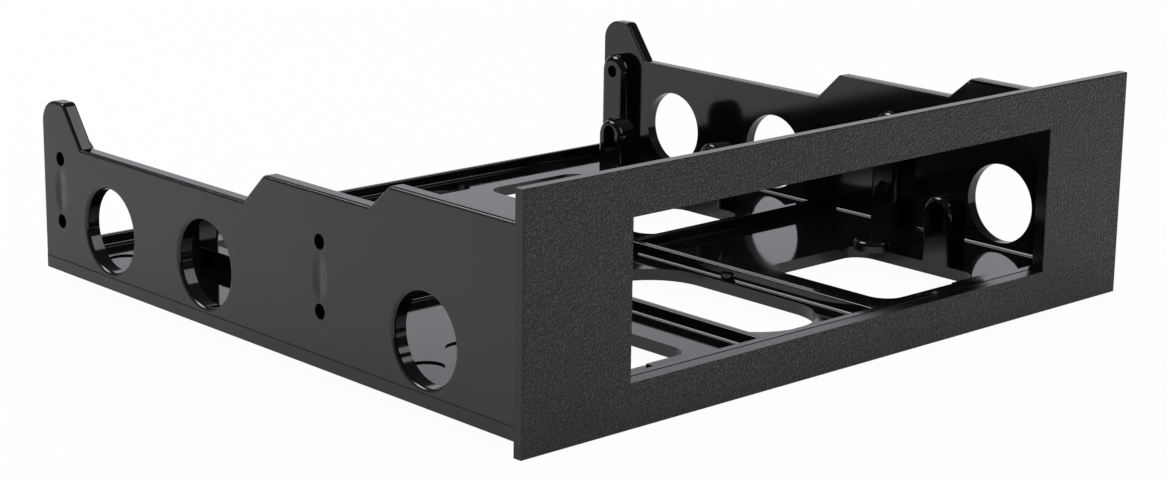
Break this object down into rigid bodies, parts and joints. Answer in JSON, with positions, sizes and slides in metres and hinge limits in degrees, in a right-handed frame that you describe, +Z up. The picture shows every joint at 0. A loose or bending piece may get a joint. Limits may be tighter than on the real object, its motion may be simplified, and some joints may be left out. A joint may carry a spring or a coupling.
{
  "type": "drive bay adapter",
  "caption": "Tray with a framed front window that carries a 3.5 inch drive in a 5.25 inch computer bay.",
  "frame": {"origin": "centre of the overall box in plan, at the bezel's lower edge", "axes": "+X to the right seen from the front, +Y from the bezel to the rear, +Z up"},
  "size_m": [0.1484, 0.137, 0.042],
  "materials": {
    "textured_black_plastic": "pebble-textured moulded ABS",
    "polished_black_plastic": "polished moulded ABS"
  },
  "bodies": {
    "root": {"front_bezel": "textured_black_plastic", "tray_floor": "polished_black_plastic", "left_side_panel": "polished_black_plastic", "right_side_panel": "polished_black_plastic"}
  },
  "joints": []
}
